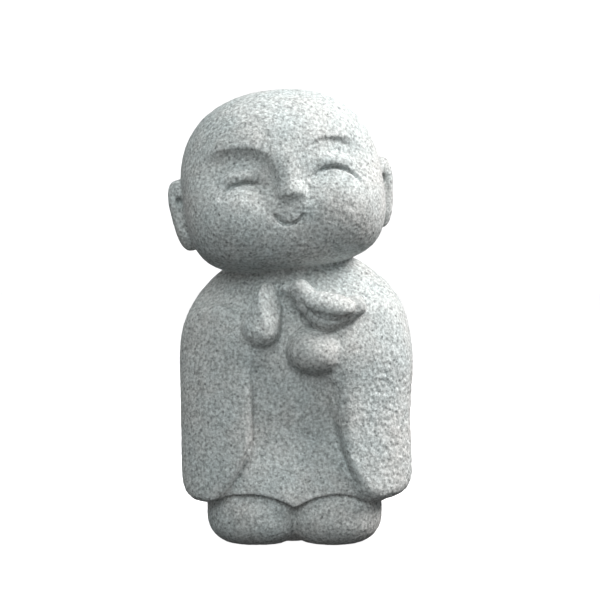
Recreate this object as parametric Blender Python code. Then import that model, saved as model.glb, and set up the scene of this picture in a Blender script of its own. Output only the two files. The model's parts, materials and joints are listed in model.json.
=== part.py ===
"""A stone jizo: a small standing monk with a child's round head, carved from one block of granite.

He faces -Y, +X is on the right of someone looking at him, and he stands on Z = 0. One hand is
raised in prayer and a small bird sits on the other. The stone is held as a grid of distances
from its surface. Each form, such as the head or a foot, is a function that gives the distance
from it: forms are joined or cut with a soft seam, as a carver rounds a corner, and the surface
at distance zero becomes the mesh.
"""

import math
from collections import namedtuple

import bpy
import numpy as np
import openvdb
from mathutils import Euler, Matrix, Vector

# Overall sizes, in metres
HEIGHT = 0.300
HEAD_HEIGHT = 0.119
HEAD_WIDTH = 0.132
HEAD_DEPTH = 0.120
SLEEVE_SPAN = 0.154
BODY_DEPTH = 0.098
FOOT_SPAN = 0.117

# Sizes of the parts of the figure
SLEEVE_DEPTH = 0.086
SLEEVE_END = 0.0298
HEM_HEIGHT = 0.0365
HEM_DIP = 0.0085
HEM_WIDTH = 0.114
FOOT_LENGTH = 0.086
FOOT_HEIGHT = 0.037
EAR_HEIGHT = 0.048
EAR_PROUD = 0.009
EYE_SPACING = 0.061
MOUTH_WIDTH = 0.0175
MOUTH_SAG = 0.0057
LINE_WIDTH = 0.0036
LINE_DEPTH = 0.0026

# How the head is held, in degrees: turned to his left, leaning to his right, chin level
HEAD_TURN = 5.0
HEAD_LEAN = -7.0
HEAD_NOD = 0.0
SHOULDER_LEAN = -4.5

# The pose and the carving are stepped off in parts, 300 of them to the height
PART = HEIGHT / 300

# How finely the stone is read, how far from its surface, and how many faces the carving keeps
GRAIN = 1.2 * PART
FAR = 30 * PART
FACES = 9700

BODY_HEIGHT = HEIGHT - HEAD_HEIGHT
STONE_COLOUR = (0.42, 0.44, 0.44, 1.0)

# A shape to join or cut, with a distance for each point, or a depth to engrave, and its box
Form = namedtuple("Form", "measure low high")

# A sleeve's width, how far out it reaches, its lean in degrees, forward and then to his left, and
# how far its edge and its seam with the robe are rounded
Sleeve = namedtuple("Sleeve", "width reach lean edge seam")
RIGHT_SLEEVE = Sleeve(0.0495, 0.0762, (-4.5, -1.2, 0.0), 0.006, 0.004)
LEFT_SLEEVE = Sleeve(0.048, 0.0772, (-3.0, -2.4, 0.0), 0.008, 0.014)


def parts(*counts):
    """Lengths from counts of parts."""
    return tuple(count * PART for count in counts)


def frame_at(point, tilt=(0.0, 0.0, 0.0)):
    """A frame at a point, turned by angles in degrees about X, then Y, then Z."""
    turn = Euler([math.radians(angle) for angle in tilt]).to_matrix().to_4x4()
    return Matrix.Translation(point) @ turn


def smooth_step(low, high, value):
    """0 below low, 1 above high, and a smooth rise between them."""
    share = np.clip((value - low) / (high - low), 0.0, 1.0)
    return share * share * (3.0 - 2.0 * share)


def soft_min(a, b, blend):
    """The lesser of two distances, with the corner between them rounded over a length of blend."""
    near = np.maximum(blend - np.abs(a - b), 0.0) / blend
    return np.minimum(a, b) - near * near * blend / 4.0


def soft_max(a, b, blend):
    return -soft_min(-a, -b, blend)


def form_at(frame, half, local_measure):
    """A form from a function of points in its own frame and half the sides of its own box."""
    turn = np.array(frame.to_3x3(), np.float32)
    centre = np.array(frame.translation, np.float32)
    reach = np.abs(turn) @ np.asarray(half, np.float32)

    def measure(points):
        return local_measure((points - centre) @ turn)

    return Form(measure, centre - reach, centre + reach)


def rounded_box(p, radii, power):
    """Distance from a shape between an ellipsoid, at power 2, and a box, at a high power."""
    share = np.maximum(np.abs(p) / np.asarray(radii, np.float32), 1e-6)
    level = (share**power).sum(axis=-1, keepdims=True) ** (1.0 / power)
    slope = np.linalg.norm((share / level) ** (power - 1.0) / radii, axis=-1)
    return (level[..., 0] - 1.0) / slope


def lump(frame, radii, power=2.0):
    return form_at(frame, radii, lambda p: rounded_box(p, radii, power))


def limb(start, end, start_radius, end_radius):
    """A round bar from one point to another, with round ends of two radii."""
    start, end = Vector(start), Vector(end)
    middle = (start + end) / 2
    wide = max(start_radius, end_radius)
    half = [abs(gap) / 2 + wide for gap in end - start]
    a = np.array(start - middle, np.float32)
    along = np.array(end - start, np.float32)

    def measure(p):
        share = np.clip(((p - a) @ along) / (along @ along), 0.0, 1.0)
        gap = np.linalg.norm(p - a - share[..., None] * along, axis=-1)
        return gap - start_radius - share * (end_radius - start_radius)

    return form_at(Matrix.Translation(middle), half, measure)


def sliced(form, point, normal, blend):
    """A form with what lies beyond a plane taken off."""
    point = np.array(point, np.float32)
    normal = np.array(Vector(normal).normalized(), np.float32)

    def measure(points):
        return soft_max(form.measure(points), (points - point) @ normal, blend)

    return Form(measure, form.low, form.high)


def stroke(frame, width, sag, thick, deep, fade=0.35):
    """A thin arc to engrave on what faces the frame's -Y, level along its X and sagging in Z."""
    half = width / 2
    radius = (half * half + sag * sag) / (2 * abs(sag))
    way = math.copysign(1.0, sag)
    sweep = math.asin(min(half / radius, 1.0))
    if abs(sag) > half:
        sweep = math.pi - sweep

    def measure(p):
        x, z = p[..., 0], way * (p[..., 2] + sag) - radius
        angle = np.clip(np.arctan2(x, -z), -sweep, sweep)
        gap = np.hypot(x - radius * np.sin(angle), z + radius * np.cos(angle))
        taper = 1.0 - fade * (angle / sweep) ** 2
        return deep * taper * smooth_step(-thick / 2, 0.0, -gap) * (p[..., 1] < 0)

    return form_at(frame, (half + thick, HEAD_DEPTH / 2 + thick, abs(sag) + thick), measure)


class Block:
    """The stone, as distances from its surface on a grid: negative inside, in metres."""

    def __init__(self, low, high):
        self.axes = [
            np.arange(a, b, GRAIN, dtype=np.float32) for a, b in zip(low, high, strict=True)
        ]
        self.distance = np.full([len(axis) for axis in self.axes], FAR, np.float32)

    def window(self, form, margin):
        """The part of the grid round a form, and the points there."""
        where = tuple(
            slice(*np.searchsorted(axis, (low - margin, high + margin)))
            for axis, low, high in zip(self.axes, form.low, form.high, strict=True)
        )
        spans = [axis[span] for axis, span in zip(self.axes, where, strict=True)]
        return where, np.stack(np.meshgrid(*spans, indexing="ij"), axis=-1)

    def join(self, form, blend):
        where, points = self.window(form, FAR)
        self.distance[where] = soft_min(self.distance[where], form.measure(points), blend)

    def cut(self, form, blend):
        where, points = self.window(form, blend)
        self.distance[where] = soft_max(self.distance[where], -form.measure(points), blend)

    def engrave(self, form):
        """Takes the surface in by the depth that a form measures, or out where that is negative."""
        where, points = self.window(form, 0.0)
        self.distance[where] += form.measure(points)

    def mesh(self, name):
        grid = openvdb.FloatGrid(FAR)
        grid.copyFromArray(self.distance)
        points, quads = grid.convertToQuads()
        points = points * GRAIN + [axis[0] for axis in self.axes]
        made = bpy.data.meshes.new(name)
        made.from_pydata(points.tolist(), [], quads[:, ::-1].tolist())
        return made


# The head's middle, a little to the left of the feet and in front of them, and the way it turns
HEAD_FRAME = frame_at(
    (-9.5 * PART, -6 * PART, HEIGHT - HEAD_HEIGHT / 2), (HEAD_NOD, HEAD_LEAN, HEAD_TURN)
)


def on_head(x, z, tilt=0.0, y=0.0):
    """A frame at a place on the head, with Y in and X level, or tilted by some degrees."""
    return HEAD_FRAME @ frame_at((x, y, z), (0.0, tilt, 0.0))


def trunk(stone):
    """Chest, shoulders and back as one bell, with the robe below them."""
    radii = (SLEEVE_SPAN / 2, BODY_DEPTH / 2, 0.415 * BODY_HEIGHT)
    middle = (0, 3 * PART, 0.67 * BODY_HEIGHT)
    stone.join(lump(frame_at(middle, (0, SHOULDER_LEAN, 0)), radii, 2.1), PART)
    raised = lump(frame_at((21 * PART, 4 * PART, 0.88 * BODY_HEIGHT)), parts(42, 36, 31))
    stone.join(raised, 6 * PART)
    stone.join(robe(), 10 * PART)


def robe():
    """A skirt that flares down to its hem, which arches over each foot and falls behind them."""
    half_width, half_depth = HEM_WIDTH / 2, BODY_DEPTH / 2 + 2 * PART
    top = 0.78 * BODY_HEIGHT
    dip_at = FOOT_SPAN / 4

    def hem(x, y):
        arch = HEM_DIP * ((np.abs(x) - dip_at) / dip_at) ** 2
        arch = np.where(np.abs(x) > dip_at, arch / 2, arch)
        arch *= smooth_step(0.0, 0.4 * half_depth, -y)
        return HEM_HEIGHT - arch - 0.7 * HEM_HEIGHT * smooth_step(-0.4 * half_depth, half_depth, y)

    def measure(p):
        x, y, z = p[..., 0], p[..., 1], p[..., 2] + top / 2
        wide = half_width - 5 * PART * z / top
        in_front = smooth_step(-0.2, 0.5, -y / half_depth)
        recess = smooth_step(0.12 * top, 0.6 * top, z) * smooth_step(-0.8, 0.2, x / half_width)
        deep = half_depth - 9 * PART * recess * in_front
        power = 3.0 + in_front * (1.0 - 1.7 * smooth_step(0.22 * top, 0.5 * top, z))
        level = ((np.abs(x) / wide) ** power + (np.abs(y) / deep) ** power) ** (1 / power)
        side = soft_max((level - 1.0) * deep, z - top, 20 * PART)
        return soft_max(side, hem(x, y) - z, 1.2 * PART)

    return form_at(frame_at((0, 2 * PART, top / 2)), (half_width, half_depth, top / 2), measure)


def arm(stone, side, sleeve, elbow, wrist):
    """A forearm bent across the chest, and the long sleeve that hangs from it."""
    shoulder = (0.9 * elbow[0], 2 * PART, 0.805 * BODY_HEIGHT)
    stone.join(limb(shoulder, wrist, 21.5 * PART, 17 * PART), 10 * PART)
    stone.join(limb(elbow, wrist, 21 * PART, 17 * PART), 12 * PART)
    half_length = 0.352 * BODY_HEIGHT
    overlap = 3 * PART
    half_width = (sleeve.width + overlap) / 2
    middle_x = side * (sleeve.reach + overlap - half_width)
    below, above = parts(28, 64)

    def measure(p):
        down = np.minimum(p[..., 2] + half_length - below, 0.0)
        up = np.maximum(p[..., 2] - half_length + above, 0.0)
        rise = down + up * below / above
        across = p[..., 0] - middle_x
        seen_in_front = rounded_box(np.stack([across, rise], axis=-1), (half_width, below), 2.9)
        seen_from_above = rounded_box(p[..., :2], (sleeve.reach, SLEEVE_DEPTH / 2), 2.4)
        return soft_max(seen_in_front, seen_from_above, sleeve.edge)

    leaning = frame_at((0, -11 * PART, SLEEVE_END + half_length), sleeve.lean)
    hanging = form_at(leaning, (sleeve.reach, SLEEVE_DEPTH / 2, half_length), measure)
    corner = (side * (sleeve.reach - 0.68 * sleeve.width), 0, SLEEVE_END + 8 * PART)
    hanging = sliced(hanging, corner, (-0.8 * side, 0, -0.6), 8 * PART)
    stone.join(hanging, sleeve.seam)


def feet(stone):
    """Two bare feet, plump and toeless, with their insteps under the robe and a flat sole."""
    half_width = FOOT_SPAN / 4 + 4 * PART
    for side in (-1, 1):
        middle = (side * (FOOT_SPAN / 2 - half_width), -4 * PART, 0.58 * FOOT_HEIGHT)
        radii = (half_width, FOOT_LENGTH / 2, 0.64 * FOOT_HEIGHT)
        stone.join(lump(frame_at(middle), radii, 2.7), 0.8 * PART)
    between = lump(frame_at((0, -2 * PART, 0.3 * FOOT_HEIGHT)), parts(13, 34, 15), 3)
    stone.join(between, 3 * PART)
    sole = (0.45 * FOOT_SPAN, 0.42 * FOOT_LENGTH, 0.5 * FOOT_HEIGHT)
    stone.join(lump(frame_at((0, 10 * PART, 0.5 * FOOT_HEIGHT)), sole, 3.5), 4 * PART)


def head():
    """Round above, and squarer below, where the cheeks are full."""
    radii = np.array([HEAD_WIDTH, HEAD_DEPTH, HEAD_HEIGHT], np.float32) / 2

    def measure(p):
        fullness = smooth_step(-0.35, 0.45, -p[..., 2:] / radii[2])
        fullness = fullness * smooth_step(-0.7, 0.3, -p[..., 1:2] / radii[1])
        return rounded_box(p, radii, 2.25 + 1.5 * fullness)

    return form_at(HEAD_FRAME, radii, measure)


def ears(stone):
    """Long ears, flat against the head, that lean in toward the jaw and are dished in front."""
    for side in (-1, 1):
        out = HEAD_WIDTH / 2 + EAR_PROUD - 9 * PART
        ear = on_head(side * out, -0.33 * EAR_HEIGHT, side * 7, 3 * PART)
        stone.join(lump(ear, (9 * PART, 10 * PART, EAR_HEIGHT / 2), 2.6), 1.5 * PART)
        hollow = ear @ frame_at(parts(side * 3, -10.5, 2))
        stone.cut(lump(hollow, parts(2.6, 3.6, 14)), 3 * PART)
        hole = ear @ frame_at(parts(side * 1.5, -9, 9))
        stone.cut(lump(hole, parts(2.2, 6, 3.5)), PART)


def face(stone):
    """Hollows under arched brows, a small nose, cheeks, and shut eyes and a smile as fine lines."""
    front = HEAD_DEPTH / 2
    for side in (-1, 1):
        stone.engrave(socket(side))
        cheek = on_head(side * 0.47 * EYE_SPACING, -24 * PART, 0, -0.78 * front)
        stone.join(lump(cheek, parts(20, 12, 15.5)), 10 * PART)
        lid = on_head(side * 28 * PART, (3.2 if side < 0 else 5.5) * PART, side * 6, -48.5 * PART)
        stone.join(lump(lid, parts(14, 7, 5)), 5 * PART)
    bridge = [HEAD_FRAME @ Vector(parts(x, y, z)) for x, y, z in ((0.5, -54, 12), (0.8, -59.5, -10))]
    stone.join(limb(*bridge, 4.0 * PART, 5.0 * PART), 6 * PART)
    tip = on_head(0.8 * PART, -11.5 * PART, 0, -front + 1.5 * PART)
    stone.join(sliced_below(tip, parts(8.8, 5.4, 6.0)), 3.5 * PART)
    for x, z, tilt, width, arch in EYES:
        eye = on_head(x * PART, z * PART, tilt)
        stone.engrave(stroke(eye, width * PART, -arch * PART, LINE_WIDTH, LINE_DEPTH, 0.8))
    brow = on_head(27 * PART, 11 * PART, -12)
    stone.engrave(stroke(brow, 30 * PART, -8 * PART, 3.6 * PART, 1.1 * PART, 0.9))
    mouth = on_head(-1.8 * PART, -25.4 * PART, 4.4)
    stone.engrave(stroke(mouth, MOUTH_WIDTH, MOUTH_SAG, LINE_WIDTH, LINE_DEPTH))


# Each shut eye as the carver left it, in parts: the middle between its ends, across and up, how
# far it tilts in degrees, its width and its arch
EYES = ((-28.3, -4.6, -3.0, 25.0, 4.2), (30.4, -4.6, 8.0, 28.0, 6.0))


def sliced_below(frame, radii):
    """A lump cut off half way down its lower half, and facing a little forward there."""
    under = frame.to_3x3() @ Vector((0, -0.4, -0.9))
    return sliced(lump(frame, radii, 2.2), frame.translation + under * radii[2] / 2, under, PART)


def socket(side):
    """The hollow between a brow and a cheek: steep under the brow and beside the nose."""
    half_width, half_height = parts(28, 28)
    deep = (6.0 if side < 0 else 4.6) * PART

    def measure(p):
        x, y, z = side * p[..., 0], p[..., 1], p[..., 2]
        level = (np.abs(x / half_width) ** 2.6 + np.abs(z / half_height) ** 2.6) ** (1 / 2.6)
        inside = np.clip((1.0 - level) * half_height / (9 * PART), 0.0, 1.0)
        edge = inside * (2.0 - inside)
        inward = smooth_step(-0.1, 0.9, -x / half_width)
        low, high = (-7 - 16 * inward) * PART, (17 - 13 * inward) * PART
        fade = smooth_step(0.0, 1.0, (z - low) / (high - low))
        outward = smooth_step(-0.9 * half_width, 0.0, -x)
        beside_nose = 1.0 if side < 0 else 1.0 - 0.6 * inward
        return deep * edge * fade * (0.15 + 0.85 * outward) * beside_nose * (y < 0)

    middle = on_head(side * 33 * PART, -7.5 * PART)
    return form_at(middle, (half_width, HEAD_DEPTH / 2 + deep, half_height), measure)


def prayer_hand(stone):
    """His right hand, held up flat with the fingertips pointed and the palm turned inward."""
    palm = limb(parts(-22, -44, 142.5), parts(-15.7, -46.5, 171), 14 * PART, 5.5 * PART)
    palm = sliced(palm, parts(-14.1, -52.2, 150), (0.63, -0.715, 0.30), 0.8 * PART)
    stone.join(palm, 2.5 * PART)
    stone.join(limb(parts(-14, -37, 158), parts(-13, -39, 168), 4 * PART, 2.5 * PART), 2 * PART)


def bird_hand(stone):
    """His left hand, closed round beneath the bird."""
    fist = lump(frame_at(parts(12.3, -44, 128.7), (0, 6, 0)), parts(17.5, 18, 14.3), 2.3)
    stone.join(fist, 3.5 * PART)


def bird(stone):
    """A small bird that looks to the side, with its wing folded over a blunt, lifted tail."""
    breast, rump = parts(9, -47, 160.5), parts(20, -50, 151.5)
    stone.join(limb(breast, rump, 8.5 * PART, 10.5 * PART), 1.5 * PART)
    stone.join(limb(rump, parts(33, -47, 154.5), 10 * PART, 7.5 * PART), 2 * PART)
    tail = lump(frame_at(parts(36.8, -47.5, 155.8), (0, -14, 6)), parts(8.5, 6.5, 6), 3.2)
    stone.join(tail, 2 * PART)
    stone.join(lump(frame_at(parts(3.8, -51, 168)), parts(7.2, 7, 7)), 4 * PART)
    stone.join(limb(parts(3, -51, 168.6), parts(-7, -49, 169), 4.5 * PART, 2.4 * PART), 2 * PART)
    wing = lump(frame_at(parts(21.3, -56.5, 157.8), (-25, 24, -4)), parts(14.5, 5, 7.5), 2.2)
    stone.join(wing, 2 * PART)
    under_wing = frame_at(parts(21.3, -46, 153.6), (0, 9.5, 0))
    stone.engrave(stroke(under_wing, 25 * PART, 4.5 * PART, 2.8 * PART, 1.6 * PART, 0.8))


def carve(stone):
    trunk(stone)
    arm(stone, -1, RIGHT_SLEEVE, parts(-48, -18, 122), parts(-30, -30, 133))
    arm(stone, 1, LEFT_SLEEVE, parts(50, -18, 123), parts(28, -30, 129))
    feet(stone)
    stone.join(head(), 3 * PART)
    ears(stone)
    face(stone)
    prayer_hand(stone)
    bird_hand(stone)
    bird(stone)


def granite():
    material = bpy.data.materials.new("granite")
    material.use_nodes = True
    shader = material.node_tree.nodes["Principled BSDF"]
    shader.inputs["Base Color"].default_value = STONE_COLOUR
    shader.inputs["Roughness"].default_value = 0.9
    shader.inputs["Metallic"].default_value = 0.0
    return material


def ground():
    """The block that the underside is cut flat with."""
    bpy.ops.mesh.primitive_cube_add(size=HEIGHT * 2, location=(0, 0, -HEIGHT))
    block = bpy.context.object
    block.name = "ground"
    block.hide_render = True
    block.display_type = "WIRE"
    return block


def build():
    for leftover in list(bpy.data.objects):
        bpy.data.objects.remove(leftover)
    side, front, under = SLEEVE_SPAN / 2 + 22 * PART, 92 * PART, 6 * PART
    stone = Block((-side, -front, -under), (side, front, HEIGHT + under))
    carve(stone)
    statue = bpy.data.objects.new("jizo_statue", stone.mesh("jizo_statue"))
    statue.data.materials.append(granite())
    bpy.context.scene.collection.objects.link(statue)

    fewer = statue.modifiers.new("fewer faces", "DECIMATE")
    fewer.ratio = FACES / (2 * len(statue.data.polygons))
    flat = statue.modifiers.new("flat underside", "BOOLEAN")
    flat.operation = "DIFFERENCE"
    flat.object = ground()
    centre(statue)


def centre(statue):
    """Puts the middle of the statue's box over the origin."""
    graph = bpy.context.evaluated_depsgraph_get()
    points = [Vector(corner) for corner in statue.evaluated_get(graph).bound_box]
    for axis in (0, 1):
        across = [point[axis] for point in points]
        statue.location[axis] = -(min(across) + max(across)) / 2


build()
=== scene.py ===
"""Looks for the stone jizo: the same carving as the solid, read finely, in weathered granite.

The carving is made again from the solid's own sizes, because the solid keeps too few faces for
the lines of the face, the rim of the hem and the rough skin of the stone. Here the prayer hand
and the bird also stand out a few millimetres more, the upper lip is filled, and valleys are worn
beside the sleeves. The stone is a grid of distances from its surface, and each form is a function
that gives the distance from it.
"""

import math
from collections import namedtuple

import bpy
import numpy as np
import openvdb
from mathutils import Euler, Matrix, Vector
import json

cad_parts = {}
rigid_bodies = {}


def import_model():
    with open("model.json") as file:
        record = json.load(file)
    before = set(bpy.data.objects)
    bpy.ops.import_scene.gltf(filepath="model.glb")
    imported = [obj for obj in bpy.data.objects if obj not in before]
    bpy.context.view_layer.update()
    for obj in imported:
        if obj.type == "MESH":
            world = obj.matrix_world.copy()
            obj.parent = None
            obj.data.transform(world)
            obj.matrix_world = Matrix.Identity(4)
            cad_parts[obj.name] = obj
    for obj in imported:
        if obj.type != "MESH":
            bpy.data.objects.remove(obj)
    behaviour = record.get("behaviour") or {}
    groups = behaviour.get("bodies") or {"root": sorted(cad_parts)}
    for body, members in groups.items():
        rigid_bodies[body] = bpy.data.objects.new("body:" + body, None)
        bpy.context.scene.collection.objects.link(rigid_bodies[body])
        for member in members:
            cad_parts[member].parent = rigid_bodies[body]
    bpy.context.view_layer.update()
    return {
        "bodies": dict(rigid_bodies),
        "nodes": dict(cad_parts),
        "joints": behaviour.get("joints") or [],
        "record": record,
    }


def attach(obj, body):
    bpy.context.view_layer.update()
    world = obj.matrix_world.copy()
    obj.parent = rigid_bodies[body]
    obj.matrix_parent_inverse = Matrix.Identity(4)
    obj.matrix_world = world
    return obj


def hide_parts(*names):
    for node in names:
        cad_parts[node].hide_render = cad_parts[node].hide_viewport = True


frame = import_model()

# Sizes of the carving, in metres, and how it turns, in degrees. They are the solid's own, but the
# lines of the face are cut deeper here.
HEIGHT = 0.300
HEAD_HEIGHT = 0.119
HEAD_WIDTH = 0.132
HEAD_DEPTH = 0.120
SLEEVE_SPAN = 0.154
BODY_DEPTH = 0.098
FOOT_SPAN = 0.117
SLEEVE_DEPTH = 0.086
SLEEVE_END = 0.0298
HEM_HEIGHT = 0.0365
HEM_DIP = 0.0085
HEM_WIDTH = 0.114
FOOT_LENGTH = 0.086
FOOT_HEIGHT = 0.037
EAR_HEIGHT = 0.048
EAR_PROUD = 0.009
EYE_SPACING = 0.061
MOUTH_WIDTH = 0.0175
MOUTH_SAG = 0.0057
LINE_WIDTH = 0.0036
LINE_DEPTH = 0.0034
HEAD_TURN = 5.0
HEAD_LEAN = -7.0
HEAD_NOD = 0.0
SHOULDER_LEAN = -4.5
BODY_HEIGHT = HEIGHT - HEAD_HEIGHT

# A 300th of the height, in which the small forms are measured
PART = HEIGHT / 300

# How finely the stone is read, how far from its surface, and how many triangles are kept
STEP = 0.00095
FAR = 14 * PART
TRIANGLES = 196000

# Where the camera stands, in metres from the middle of the feet, what it aims at, and how much of
# the plane through the figure's middle it takes in
CAMERA_DISTANCE = 0.85
CAMERA_HEIGHT = 0.19
AIM_X = 0.0036
AIM_HEIGHT = 0.160
VIEW_WIDTH = 0.405
SENSOR = 36.0

# How big the pale floor is, and the white surround that stands on it
FLOOR_RADIUS = 6.0
SURROUND_RADIUS = 5.9

# A glow low down all round, as from pale ground: pairs of a height, from -1 straight down to 1
# straight up, and how bright it is there
GLOW = ((-0.30, 0.05), (-0.20, 0.36), (0.10, 0.36), (0.20, 0.08), (0.95, 0.04))

# Each soft lamp's way from the statue, in degrees round from the front and up, and its size, power
# and colour
Lamp = namedtuple("Lamp", "azimuth elevation size power colour")
LAMPS = {
    "key": Lamp(82, 44, 0.8, 35.0, (1.0, 0.975, 0.96)),
    "front": Lamp(-4, 32, 1.2, 12.0, (0.93, 1.0, 1.0)),
    "top": Lamp(0, 75, 1.2, 4.5, (0.96, 1.0, 1.0)),
    "back": Lamp(-110, 40, 1.2, 4.8, (0.93, 1.0, 1.0)),
}
LAMP_DISTANCE = 1.6

# A form: the function that gives the distance from it, and the two corners of its box
Form = namedtuple("Form", "measure low high")

# A sleeve's width, how far out it reaches, its lean in degrees, forward and then to his left, and
# how far its edge and its seam with the robe are rounded
Sleeve = namedtuple("Sleeve", "width reach lean edge seam")
RIGHT_SLEEVE = Sleeve(0.0495, 0.0762, (-4.5, -1.2, 0.0), 0.006, 0.004)
LEFT_SLEEVE = Sleeve(0.048, 0.0772, (-3.0, -2.4, 0.0), 0.008, 0.014)

# A shut eye as the carver left it, in parts: the middle between its ends, across and up, how far
# it tilts in degrees, its width and its arch
Eye = namedtuple("Eye", "x z tilt width arch")
EYES = (Eye(-28.6, -9.0, -6.0, 29.0, 6.8), Eye(29.6, -6.8, 6.8, 31.0, 8.2))


def parts(*counts):
    """Lengths from counts of parts."""
    return tuple(count * PART for count in counts)


def frame_at(point, tilt=(0.0, 0.0, 0.0)):
    """A frame at a point, turned by angles in degrees about X, then Y, then Z."""
    turn = Euler([math.radians(angle) for angle in tilt]).to_matrix().to_4x4()
    return Matrix.Translation(point) @ turn


def smooth_step(low, high, value):
    """0 below low, 1 above high, and a smooth rise between them."""
    share = np.clip((value - low) / (high - low), 0.0, 1.0)
    return share * share * (3.0 - 2.0 * share)


def soft_min(a, b, blend):
    """The lesser of two distances, with the corner between them rounded over a length of blend."""
    near = np.maximum(blend - np.abs(a - b), 0.0) / blend
    return np.minimum(a, b) - near * near * blend / 4.0


def soft_max(a, b, blend):
    return -soft_min(-a, -b, blend)


def form_at(frame, half, local_measure):
    """A form from a function of points in its own frame and half the sides of its own box."""
    turn = np.array(frame.to_3x3(), np.float32)
    centre = np.array(frame.translation, np.float32)
    reach = np.abs(turn) @ np.asarray(half, np.float32)

    def measure(points):
        return local_measure((points - centre) @ turn)

    return Form(measure, centre - reach, centre + reach)


def rounded_box(p, radii, power):
    """Distance from a shape between an ellipsoid, at power 2, and a box, at a high power."""
    share = np.maximum(np.abs(p) / np.asarray(radii, np.float32), 1e-6)
    level = (share**power).sum(axis=-1, keepdims=True) ** (1.0 / power)
    slope = np.linalg.norm((share / level) ** (power - 1.0) / radii, axis=-1)
    return (level[..., 0] - 1.0) / slope


def lump(frame, radii, power=2.0):
    return form_at(frame, radii, lambda p: rounded_box(p, radii, power))


def limb(start, end, start_radius, end_radius):
    """A round bar from one point to another, with round ends of two radii."""
    start, end = Vector(start), Vector(end)
    middle = (start + end) / 2
    wide = max(start_radius, end_radius)
    half = [abs(gap) / 2 + wide for gap in end - start]
    a = np.array(start - middle, np.float32)
    along = np.array(end - start, np.float32)

    def measure(p):
        share = np.clip(((p - a) @ along) / (along @ along), 0.0, 1.0)
        gap = np.linalg.norm(p - a - share[..., None] * along, axis=-1)
        return gap - start_radius - share * (end_radius - start_radius)

    return form_at(Matrix.Translation(middle), half, measure)


def sliced(form, point, normal, blend):
    """A form with what lies beyond a plane taken off."""
    point = np.array(point, np.float32)
    normal = np.array(Vector(normal).normalized(), np.float32)

    def measure(points):
        return soft_max(form.measure(points), (points - point) @ normal, blend)

    return Form(measure, form.low, form.high)


def stroke(frame, width, sag, thick, deep, fade):
    """A thin arc to engrave on what faces the frame's -Y, level along its X and sagging in Z.

    Toward its ends it loses a share of its depth, the fade.
    """
    half = width / 2
    radius = (half * half + sag * sag) / (2 * abs(sag))
    way = math.copysign(1.0, sag)
    sweep = math.asin(min(half / radius, 1.0))
    if abs(sag) > half:
        sweep = math.pi - sweep

    def measure(p):
        x, z = p[..., 0], way * (p[..., 2] + sag) - radius
        angle = np.clip(np.arctan2(x, -z), -sweep, sweep)
        gap = np.hypot(x - radius * np.sin(angle), z + radius * np.cos(angle))
        taper = 1.0 - fade * (angle / sweep) ** 2
        return deep * taper * smooth_step(-thick / 2, 0.0, -gap) * (p[..., 1] < 0)

    return form_at(frame, (half + thick, HEAD_DEPTH / 2 + thick, abs(sag) + thick), measure)


class Block:
    """The stone, as distances from its surface on a grid: negative inside, in metres."""

    def __init__(self, low, high):
        self.axes = [
            np.arange(a, b, STEP, dtype=np.float32) for a, b in zip(low, high, strict=True)
        ]
        self.distance = np.full([len(axis) for axis in self.axes], FAR, np.float32)

    def window(self, form, margin):
        """The part of the grid round a form, and the points there."""
        where = tuple(
            slice(*np.searchsorted(axis, (low - margin, high + margin)))
            for axis, low, high in zip(self.axes, form.low, form.high, strict=True)
        )
        spans = [axis[span] for axis, span in zip(self.axes, where, strict=True)]
        return where, np.stack(np.meshgrid(*spans, indexing="ij"), axis=-1)

    def join(self, form, blend):
        where, points = self.window(form, FAR)
        self.distance[where] = soft_min(self.distance[where], form.measure(points), blend)

    def cut(self, form, blend):
        where, points = self.window(form, blend)
        self.distance[where] = soft_max(self.distance[where], -form.measure(points), blend)

    def engrave(self, form):
        """Takes the surface in by the depth that a form measures."""
        where, points = self.window(form, 0.0)
        self.distance[where] += form.measure(points)

    def roughen(self, depth):
        """Takes the surface in by a depth worked out at the points near it."""
        where = np.nonzero(np.abs(self.distance) < 3 * STEP)
        points = np.stack([axis[i] for axis, i in zip(self.axes, where, strict=True)], axis=-1)
        self.distance[where] += depth(points)

    def level(self):
        """Cuts the underside flat."""
        self.distance = np.maximum(self.distance, -self.axes[2])

    def mesh(self, name):
        grid = openvdb.FloatGrid(FAR)
        grid.copyFromArray(self.distance)
        points, quads = grid.convertToQuads()
        points = points * STEP + [axis[0] for axis in self.axes]
        made = bpy.data.meshes.new(name)
        made.from_pydata(points.tolist(), [], quads[:, ::-1].tolist())
        return made


# The head's middle, a little to the left of the feet and in front of them, and the way it turns
HEAD_FRAME = frame_at(
    (-9.5 * PART, -6 * PART, HEIGHT - HEAD_HEIGHT / 2), (HEAD_NOD, HEAD_LEAN, HEAD_TURN)
)


def on_head(x, z, tilt=0.0, y=0.0):
    """A frame at a place on the head, with Y in and X level, or tilted by some degrees."""
    return HEAD_FRAME @ frame_at((x, y, z), (0.0, tilt, 0.0))


def trunk(stone):
    """Chest, shoulders and back as one bell, with the robe below them."""
    radii = (SLEEVE_SPAN / 2, BODY_DEPTH / 2, 0.415 * BODY_HEIGHT)
    middle = (0, 3 * PART, 0.67 * BODY_HEIGHT)
    stone.join(lump(frame_at(middle, (0, SHOULDER_LEAN, 0)), radii, 2.1), PART)
    raised = lump(frame_at((21 * PART, 4 * PART, 0.88 * BODY_HEIGHT)), parts(42, 36, 31))
    stone.join(raised, 6 * PART)
    stone.join(robe(), 10 * PART)


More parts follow.
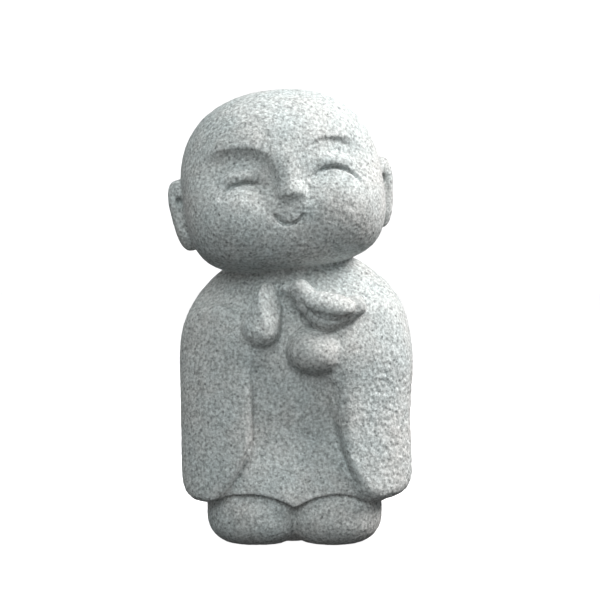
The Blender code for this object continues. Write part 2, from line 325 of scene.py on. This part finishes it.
def robe():
    """A skirt that flares down to its hem, which arches over each foot and falls behind them."""
    half_width, half_depth = HEM_WIDTH / 2, BODY_DEPTH / 2 + 2 * PART
    top = 0.78 * BODY_HEIGHT
    dip_at = FOOT_SPAN / 4

    def hem(x, y):
        arch = HEM_DIP * ((np.abs(x) - dip_at) / dip_at) ** 2
        arch = np.where(np.abs(x) > dip_at, arch / 2, arch)
        arch *= smooth_step(0.0, 0.4 * half_depth, -y)
        return HEM_HEIGHT - arch - 0.7 * HEM_HEIGHT * smooth_step(-0.4 * half_depth, half_depth, y)

    def measure(p):
        x, y, z = p[..., 0], p[..., 1], p[..., 2] + top / 2
        wide = half_width - 5 * PART * z / top
        in_front = smooth_step(-0.2, 0.5, -y / half_depth)
        recess = smooth_step(0.12 * top, 0.6 * top, z) * smooth_step(-0.8, 0.2, x / half_width)
        deep = half_depth - 9 * PART * recess * in_front
        power = 3.0 + in_front * (1.0 - 1.7 * smooth_step(0.22 * top, 0.5 * top, z))
        level = ((np.abs(x) / wide) ** power + (np.abs(y) / deep) ** power) ** (1 / power)
        side = soft_max((level - 1.0) * deep, z - top, 20 * PART)
        return soft_max(side, hem(x, y) - z, 1.2 * PART)

    return form_at(frame_at((0, 2 * PART, top / 2)), (half_width, half_depth, top / 2), measure)


def arm(stone, side, sleeve, elbow, wrist):
    """A forearm bent across the chest, and the long sleeve that hangs from it."""
    shoulder = (0.9 * elbow[0], 2 * PART, 0.805 * BODY_HEIGHT)
    stone.join(limb(shoulder, wrist, 21.5 * PART, 17 * PART), 10 * PART)
    stone.join(limb(elbow, wrist, 21 * PART, 17 * PART), 12 * PART)
    half_length = 0.352 * BODY_HEIGHT
    overlap = 3 * PART
    half_width = (sleeve.width + overlap) / 2
    middle_x = side * (sleeve.reach + overlap - half_width)
    below, above = parts(28, 64)

    def measure(p):
        down = np.minimum(p[..., 2] + half_length - below, 0.0)
        up = np.maximum(p[..., 2] - half_length + above, 0.0)
        rise = down + up * below / above
        across = p[..., 0] - middle_x
        seen_in_front = rounded_box(np.stack([across, rise], axis=-1), (half_width, below), 2.9)
        seen_from_above = rounded_box(p[..., :2], (sleeve.reach, SLEEVE_DEPTH / 2), 2.4)
        return soft_max(seen_in_front, seen_from_above, sleeve.edge)

    leaning = frame_at((0, -11 * PART, SLEEVE_END + half_length), sleeve.lean)
    hanging = form_at(leaning, (sleeve.reach, SLEEVE_DEPTH / 2, half_length), measure)
    corner = (side * (sleeve.reach - 0.68 * sleeve.width), 0, SLEEVE_END + 8 * PART)
    hanging = sliced(hanging, corner, (-0.8 * side, 0, -0.6), 8 * PART)
    stone.join(hanging, sleeve.seam)


def seams(stone):
    """The valleys between the sleeves and the robe, worn deeper toward the hem."""
    right = frame_at(parts(-35.5, 0, 57.7), (0, -67.6, 0))
    stone.engrave(stroke(right, 44 * PART, 3 * PART, 7 * PART, 1.6 * PART, 0.8))
    left = frame_at(parts(28.2, 0, 78), (0, 70.9, 0))
    stone.engrave(stroke(left, 74 * PART, 3 * PART, 9 * PART, 1.8 * PART, 0.8))


def feet(stone):
    """Two bare feet, plump and toeless, with their insteps under the robe and a flat sole."""
    half_width = FOOT_SPAN / 4 + 4 * PART
    for side in (-1, 1):
        middle = (side * (FOOT_SPAN / 2 - half_width), -4 * PART, 0.58 * FOOT_HEIGHT)
        radii = (half_width, FOOT_LENGTH / 2, 0.64 * FOOT_HEIGHT)
        stone.join(lump(frame_at(middle), radii, 2.7), 0.8 * PART)
    between = lump(frame_at((0, 2 * PART, 0.33 * FOOT_HEIGHT)), parts(11, 33, 13), 3)
    stone.join(between, PART)
    sole = (0.45 * FOOT_SPAN, 0.42 * FOOT_LENGTH, 0.5 * FOOT_HEIGHT)
    stone.join(lump(frame_at((0, 10 * PART, 0.5 * FOOT_HEIGHT)), sole, 3.5), 4 * PART)


def head():
    """Round above, and squarer below, where the cheeks are full."""
    radii = np.array([HEAD_WIDTH, HEAD_DEPTH, HEAD_HEIGHT], np.float32) / 2

    def measure(p):
        fullness = smooth_step(-0.35, 0.45, -p[..., 2:] / radii[2])
        fullness = fullness * smooth_step(-0.7, 0.3, -p[..., 1:2] / radii[1])
        return rounded_box(p, radii, 2.25 + 1.5 * fullness)

    return form_at(HEAD_FRAME, radii, measure)


def ears(stone):
    """Long ears, flat against the head, that lean in toward the jaw and are dished in front."""
    for side in (-1, 1):
        out = HEAD_WIDTH / 2 + EAR_PROUD - 9 * PART
        ear = on_head(side * out, -0.33 * EAR_HEIGHT, side * 7, 3 * PART)
        stone.join(lump(ear, (9 * PART, 10 * PART, EAR_HEIGHT / 2), 2.6), 1.5 * PART)
        hollow = ear @ frame_at(parts(side * 3, -10.5, 2))
        stone.cut(lump(hollow, parts(2.6, 3.6, 14)), 3 * PART)
        hole = ear @ frame_at(parts(side * 1.5, -9, 9))
        stone.cut(lump(hole, parts(2.2, 6, 3.5)), PART)


def face(stone):
    """Hollows under arched brows, a small nose, cheeks, and shut eyes and a smile as fine lines."""
    front = HEAD_DEPTH / 2
    for side in (-1, 1):
        stone.engrave(socket(side))
        cheek = on_head(side * 0.47 * EYE_SPACING, -24 * PART, 0, -0.78 * front)
        stone.join(lump(cheek, parts(20, 12, 15.5)), 10 * PART)
        lid_x, lid_z = (-27, 2.2) if side < 0 else (28, 5.0)
        lid = on_head(lid_x * PART, lid_z * PART, side * 6, -48.5 * PART)
        stone.join(lump(lid, parts(14, 7, 5)), 5 * PART)
    lip = on_head(-0.8 * PART, -19 * PART, 0, -0.86 * front)
    stone.join(lump(lip, parts(13, 6.5, 8)), 6 * PART)
    between_brows = HEAD_FRAME @ Vector(parts(0.5, -54, 12))
    above_tip = HEAD_FRAME @ Vector(parts(0.8, -59.5, -10))
    stone.join(limb(between_brows, above_tip, 4.0 * PART, 5.0 * PART), 6 * PART)
    tip = on_head(0.8 * PART, -11.5 * PART, 0, -front + 1.5 * PART)
    stone.join(sliced_below(tip, parts(8.8, 5.4, 6.0)), 3.5 * PART)
    for eye in EYES:
        place = on_head(eye.x * PART, eye.z * PART, eye.tilt)
        width, arch = parts(eye.width, eye.arch)
        stone.engrave(stroke(place, width, -arch, LINE_WIDTH, LINE_DEPTH, 0.55))
    brow = on_head(25 * PART, 10.5 * PART, -11)
    stone.engrave(stroke(brow, 35 * PART, -8.5 * PART, 5.5 * PART, 1.5 * PART, 0.75))
    mouth = on_head(-1.8 * PART, -25.4 * PART, 4.4)
    stone.engrave(stroke(mouth, MOUTH_WIDTH, MOUTH_SAG, LINE_WIDTH, LINE_DEPTH, 0.2))


def sliced_below(frame, radii):
    """A lump cut off half way down its lower half, and facing a little forward there."""
    under = frame.to_3x3() @ Vector((0, -0.4, -0.9))
    return sliced(lump(frame, radii, 2.2), frame.translation + under * radii[2] / 2, under, PART)


def socket(side):
    """The hollow between a brow and a cheek: steep under the brow and beside the nose."""
    half_width, half_height = parts(28, 28)
    power = 2.6
    deep = (7.6 if side < 0 else 5.0) * PART

    def measure(p):
        x, y, z = side * p[..., 0], p[..., 1], p[..., 2]
        level = np.abs(x / half_width) ** power + np.abs(z / half_height) ** power
        level = level ** (1 / power)
        inside = np.clip((1.0 - level) * half_height / (10 * PART), 0.0, 1.0)
        edge = inside * (2.0 - inside)
        inward = smooth_step(-0.1, 0.9, -x / half_width)
        low, high = (-7 - 16 * inward) * PART, (14 - 10 * inward) * PART
        fade = smooth_step(0.0, 1.0, (z - low) / (high - low))
        outward = smooth_step(-0.9 * half_width, 0.0, -x)
        beside_nose = 1.0 if side < 0 else 1.0 - 0.6 * inward
        return deep * edge * fade * (0.15 + 0.85 * outward) * beside_nose * (y < 0)

    middle = on_head(side * 33 * PART, -7.5 * PART)
    return form_at(middle, (half_width, HEAD_DEPTH / 2 + deep, half_height), measure)


def prayer_hand(stone):
    """His right hand, held up flat with the fingertips pointed and the palm turned inward."""
    palm = limb(parts(-21.5, -46, 143.5), parts(-13.8, -50.5, 172.8), 13 * PART, 5.7 * PART)
    palm = sliced(palm, parts(-14.1, -54.4, 150), (0.60, -0.72, 0.32), 0.5 * PART)
    stone.join(palm, 2.5 * PART)
    stone.join(limb(parts(-14, -37, 158), parts(-13, -39, 168), 4 * PART, 2.5 * PART), 2 * PART)
    stone.join(limb(parts(-13, -40, 138), parts(-12, -41, 156), 6 * PART, 4.5 * PART), 2 * PART)


def bird_hand(stone):
    """His left hand, closed round beneath the bird."""
    fist = lump(frame_at(parts(12.3, -44, 129), (0, 6, 0)), parts(17.8, 18.5, 14.8), 2.2)
    stone.join(fist, 3.5 * PART)


def bird(stone):
    """A small bird that looks to the side, with its wing folded over a blunt, lifted tail."""
    breast, rump = parts(9, -47, 160.5), parts(20, -49.5, 153.2)
    stone.join(limb(breast, rump, 8.5 * PART, 11.6 * PART), 1.5 * PART)
    stone.join(limb(rump, parts(33, -49, 154.8), 11 * PART, 8.6 * PART), 2 * PART)
    tail = lump(frame_at(parts(37, -51, 157.2), (0, -20, 6)), parts(8.5, 7, 6.8), 3.2)
    stone.join(tail, 2 * PART)
    stone.join(lump(frame_at(parts(3.8, -48.5, 168)), parts(7.2, 7, 7)), 4 * PART)
    stone.join(limb(parts(3, -48, 168.6), parts(-7, -46, 169), 4.5 * PART, 2.4 * PART), 2 * PART)
    wing = lump(frame_at(parts(22, -58.5, 159.8), (-40, 10, -4)), parts(16.5, 5, 8), 2.2)
    stone.join(wing, 2 * PART)
    under_wing = frame_at(parts(21.3, -46, 153.6), (0, 9.5, 0))
    stone.engrave(stroke(under_wing, 25 * PART, 4.5 * PART, 2.8 * PART, 1.6 * PART, 0.8))


def carve(stone):
    trunk(stone)
    arm(stone, -1, RIGHT_SLEEVE, parts(-48, -18, 122), parts(-30, -30, 133))
    arm(stone, 1, LEFT_SLEEVE, parts(50, -18, 123), parts(28, -30, 129))
    seams(stone)
    feet(stone)
    stone.join(head(), 3 * PART)
    ears(stone)
    face(stone)
    prayer_hand(stone)
    bird_hand(stone)
    bird(stone)


# The rough skin of the stone comes from random heights and places on a lattice that repeats.
# Points are shifted along it by whole cells, so that none lies below its start.
LATTICE = 61
SHIFT = 1000.0
SEED = 7
dice = np.random.default_rng(SEED)
HEIGHTS = dice.random((LATTICE, LATTICE, LATTICE), dtype=np.float32) * 2 - 1
SPOTS = dice.random((LATTICE, LATTICE, LATTICE, 3), dtype=np.float32)

# How far apart the skin's pits, grains and swells are, and how deep they go, in parts
PIT_SIZE = 3.1
PIT_DEPTH = 0.8
GRAIN_SIZE = 2.1
GRAIN_DEPTH = 0.22
SWELL_SIZE = 9.0
SWELL_DEPTH = 0.14


def waves(points, size):
    """Smooth random hills and hollows between -1 and 1, a size apart."""
    where = points / size + SHIFT
    whole = np.floor(where).astype(np.int32)
    share = where - whole
    share = share * share * (3.0 - 2.0 * share)
    total = np.zeros(len(points), np.float32)
    for corner in np.ndindex(2, 2, 2):
        i, j, k = ((whole + corner) % LATTICE).T
        weight = np.prod(np.where(corner, share, 1.0 - share), axis=-1)
        total += weight * HEIGHTS[i, j, k]
    return total


def spots(points, size):
    """Distance to the nearest of some scattered spots, as a share of the size between them."""
    where = points / size + SHIFT
    whole = np.floor(where).astype(np.int32)
    best = np.full(len(points), 9.0, np.float32)
    for step in np.ndindex(3, 3, 3):
        cell = whole + np.array(step) - 1
        i, j, k = (cell % LATTICE).T
        gap = np.linalg.norm(cell + SPOTS[i, j, k] - where, axis=-1)
        best = np.minimum(best, gap)
    return best


def near(points, middle, radii):
    """1 in the middle of a rounded region and 0 outside it."""
    gap = np.linalg.norm((points - np.array(middle, np.float32)) / radii, axis=-1)
    return 1.0 - smooth_step(0.5, 1.0, gap)


def rough_skin(points):
    """How deep the weather and the chisel have bitten, from each point's place.

    The coarsest places are his left sleeve and left foot, and then the jaw.
    """
    sleeve = near(points, parts(66, -20, 85), parts(34, 60, 62))
    jaw = near(points, parts(28, -50, 200), parts(44, 50, 30))
    foot = near(points, parts(40, -44, 16), parts(24, 30, 13))
    coarse = np.clip(0.3 + 0.7 * sleeve + 0.2 * jaw + 0.5 * foot, 0.0, 1.0)
    pits_and_pit_shade = 1.0 - smooth_step(0.1, 0.65, spots(points, PIT_SIZE * PART))
    grain = waves(points, GRAIN_SIZE * PART)
    swell = waves(points, SWELL_SIZE * PART)
    bitten = PIT_DEPTH * coarse * pits_and_pit_shade + GRAIN_DEPTH * grain * (0.6 + coarse)
    return PART * (bitten + SWELL_DEPTH * swell)


def shaped():
    """The carved stone as an object, with its box centred over the origin as the solid's is."""
    side, front, under = SLEEVE_SPAN / 2 + 22 * PART, 92 * PART, 6 * PART
    stone = Block((-side, -front, -under), (side, front, HEIGHT + under))
    carve(stone)
    inside = np.nonzero(stone.distance < 0)
    low = [axis[i.min()] for axis, i in zip(stone.axes, inside, strict=True)]
    high = [axis[i.max()] for axis, i in zip(stone.axes, inside, strict=True)]
    moved = Vector((-(low[0] + high[0]) / 2, -(low[1] + high[1]) / 2, 0.0))
    stone.roughen(rough_skin)
    stone.level()
    mesh = stone.mesh("jizo_stone")
    mesh.transform(Matrix.Translation(moved))
    statue = bpy.data.objects.new("jizo_stone", mesh)
    bpy.context.scene.collection.objects.link(statue)
    fewer = statue.modifiers.new("fewer faces", "DECIMATE")
    fewer.ratio = TRIANGLES / (2 * len(mesh.polygons))
    applied(statue)
    statue.data.shade_smooth()
    return statue, moved


def applied(statue):
    graph = bpy.context.evaluated_depsgraph_get()
    mesh = bpy.data.meshes.new_from_object(statue.evaluated_get(graph))
    statue.modifiers.clear()
    statue.data = mesh


# Where the colour sockets of a Mix node stand among its inputs and outputs
MIX_FIRST = 6
MIX_SECOND = 7
MIX_RESULT = 2


def granite():
    """Pale grey granite: light and dark grains of a millimetre or two, and a pitted skin."""
    material = bpy.data.materials.new("granite")
    material.use_nodes = True
    tree = material.node_tree
    shader = tree.nodes["Principled BSDF"]
    shader.inputs["Roughness"].default_value = 0.88
    shader.inputs["Metallic"].default_value = 0.0
    shader.inputs["Specular IOR Level"].default_value = 0.25

    def add(kind, **values):
        node = tree.nodes.new(kind)
        for name, value in values.items():
            setattr(node, name, value)
        return node

    def link(source, target):
        tree.links.new(source, target)

    place = add("ShaderNodeTexCoord").outputs["Object"]

    def grains(size):
        cells = add("ShaderNodeTexVoronoi")
        cells.inputs["Scale"].default_value = 1.0 / size
        link(place, cells.inputs["Vector"])
        return cells

    def cloud(size, detail, roughness):
        noise = add("ShaderNodeTexNoise")
        noise.inputs["Scale"].default_value = 1.0 / size
        noise.inputs["Detail"].default_value = detail
        noise.inputs["Roughness"].default_value = roughness
        link(place, noise.inputs["Vector"])
        return noise.outputs["Fac"]

    def ramp(source, *stops):
        node = add("ShaderNodeValToRGB")
        elements = node.color_ramp.elements
        while len(elements) < len(stops):
            elements.new(0.5)
        for element, (at, colour) in zip(elements, stops, strict=True):
            element.position = at
            element.color = colour
        link(source, node.inputs["Fac"])
        return node.outputs["Color"]

    def grey(value, tint=(1.0, 1.0, 1.0)):
        return tuple(value * share for share in tint) + (1.0,)

    def mix(kind, share, a, b):
        node = add("ShaderNodeMix", data_type="RGBA", blend_type=kind)
        node.inputs[0].default_value = share
        link(a, node.inputs[MIX_FIRST])
        link(b, node.inputs[MIX_SECOND])
        return node.outputs[MIX_RESULT]

    def stained(colour, stain, share=0.8):
        return mix("MULTIPLY", share, colour, stain)

    # Grains of feldspar and quartz, scattered dark mica, darker flecks, and small dark dots of
    # painted shade that stand for deep pits
    grain = cloud(1.9 * PART, 2.0, 0.65)
    colour = ramp(grain, (0.28, grey(0.29)), (0.50, grey(0.58)), (0.72, grey(0.86)))
    crystals = grains(1.6 * PART)
    split = add("ShaderNodeSeparateColor")
    link(crystals.outputs["Color"], split.inputs["Color"])
    mica = ramp(split.outputs[0], (0.00, grey(0.52)), (0.13, grey(0.95)), (1.00, grey(1.0)))
    colour = stained(colour, mica)
    flecks = ramp(cloud(2.4 * PART, 2.0, 0.6), (0.66, grey(1.0)), (0.74, grey(0.35)))
    colour = stained(colour, flecks)
    # Painted shade: sparse dark dots darken the colour as the inside of a deep pit would, with no
    # relief of their own
    pits_and_pit_shade = ramp(grains(7 * PART).outputs["Distance"], (0.06, grey(0.3)), (0.13, grey(1.0)))
    colour = stained(colour, pits_and_pit_shade)
    # Weather: a faint green-blue bloom in broad patches
    patches = ramp(
        cloud(40 * PART, 3.0, 0.6),
        (0.35, grey(1.0, (0.93, 1.0, 1.0))),
        (0.65, grey(1.0, (1.0, 1.0, 0.98))),
    )
    link(stained(colour, patches, 1.0), shader.inputs["Base Color"])

    # A chiselled skin: grains stand out and pits between them are sunk
    height = mix("MIX", 0.4, cloud(2.2 * PART, 4.0, 0.6), crystals.outputs["Distance"])
    bump = add("ShaderNodeBump")
    bump.inputs["Strength"].default_value = 0.55
    bump.inputs["Distance"].default_value = 0.8 * PART
    link(height, bump.inputs["Height"])
    link(bump.outputs["Normal"], shader.inputs["Normal"])
    return material


def plain(name, level, emission):
    """A flat grey that also glows."""
    colour = (level, level, level, 1.0)
    material = bpy.data.materials.new(name)
    material.use_nodes = True
    shader = material.node_tree.nodes["Principled BSDF"]
    shader.inputs["Base Color"].default_value = colour
    shader.inputs["Roughness"].default_value = 0.9
    shader.inputs["Emission Color"].default_value = colour
    shader.inputs["Emission Strength"].default_value = emission
    return material


def ground():
    """A pale floor, and a white surround that only the camera sees."""
    bpy.ops.mesh.primitive_circle_add(vertices=96, radius=FLOOR_RADIUS, fill_type="NGON")
    floor = bpy.context.object
    floor.name = "floor"
    floor.data.materials.append(plain("pale_floor", 0.5, 1.95))
    bpy.ops.mesh.primitive_uv_sphere_add(segments=64, ring_count=32, radius=SURROUND_RADIUS)
    surround = bpy.context.object
    surround.name = "surround"
    surround.data.materials.append(plain("white_surround", 1.0, 1.0))
    for stage in (floor, surround):
        stage.visible_diffuse = False
        stage.visible_glossy = False
    surround.visible_shadow = False


def glow(scene):
    """The world's light, by how far up it comes from."""
    world = bpy.data.worlds.new("studio")
    scene.world = world
    world.use_nodes = True
    tree = world.node_tree
    background = tree.nodes["Background"]
    background.inputs["Strength"].default_value = 1.0
    way = tree.nodes.new("ShaderNodeTexCoord")
    split = tree.nodes.new("ShaderNodeSeparateXYZ")
    height = tree.nodes.new("ShaderNodeMapRange")
    height.inputs["From Min"].default_value = -1.0
    sky = tree.nodes.new("ShaderNodeValToRGB")
    tree.links.new(way.outputs["Generated"], split.inputs["Vector"])
    tree.links.new(split.outputs["Z"], height.inputs["Value"])
    tree.links.new(height.outputs["Result"], sky.inputs["Fac"])
    tree.links.new(sky.outputs["Color"], background.inputs["Color"])
    stops = sky.color_ramp.elements
    while len(stops) < len(GLOW):
        stops.new(0.5)
    for stop, (at, bright) in zip(stops, GLOW, strict=True):
        stop.position = (at + 1.0) / 2
        stop.color = (bright, bright, bright, 1.0)


def lamps(scene):
    """The soft lamps, each turned to the statue's middle."""
    for name, lamp in LAMPS.items():
        light = bpy.data.lights.new(name, "AREA")
        light.shape = "DISK"
        light.size = lamp.size
        light.energy = lamp.power
        light.color = lamp.colour
        placed = bpy.data.objects.new(name, light)
        scene.collection.objects.link(placed)
        a, e = math.radians(lamp.azimuth), math.radians(lamp.elevation)
        back = Vector((math.sin(a) * math.cos(e), -math.cos(a) * math.cos(e), math.sin(e)))
        placed.location = Vector((0, 0, HEIGHT / 2)) + back * LAMP_DISTANCE
        placed.rotation_euler = back.to_track_quat("Z", "Y").to_euler()
        placed.visible_camera = False


def viewpoint(scene, moved):
    """The camera, placed from the feet before the statue was moved, and moved with it."""
    camera = bpy.data.cameras.new("camera")
    camera.sensor_width = SENSOR
    camera.lens = SENSOR * CAMERA_DISTANCE / VIEW_WIDTH
    camera.clip_start = 0.01
    placed = bpy.data.objects.new("camera", camera)
    scene.collection.objects.link(placed)
    placed.location = Vector((AIM_X, -CAMERA_DISTANCE, CAMERA_HEIGHT)) + moved
    aim = Vector((AIM_X, 0, AIM_HEIGHT)) + moved
    placed.rotation_euler = (placed.location - aim).to_track_quat("Z", "Y").to_euler()
    scene.camera = placed


statue, moved = shaped()
statue.data.materials.append(granite())
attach(statue, "root")
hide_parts("jizo_statue")
scene = bpy.context.scene
scene.view_settings.view_transform = "Standard"
ground()
glow(scene)
lamps(scene)
viewpoint(scene, moved)


def record_size():
    import json


record_size()
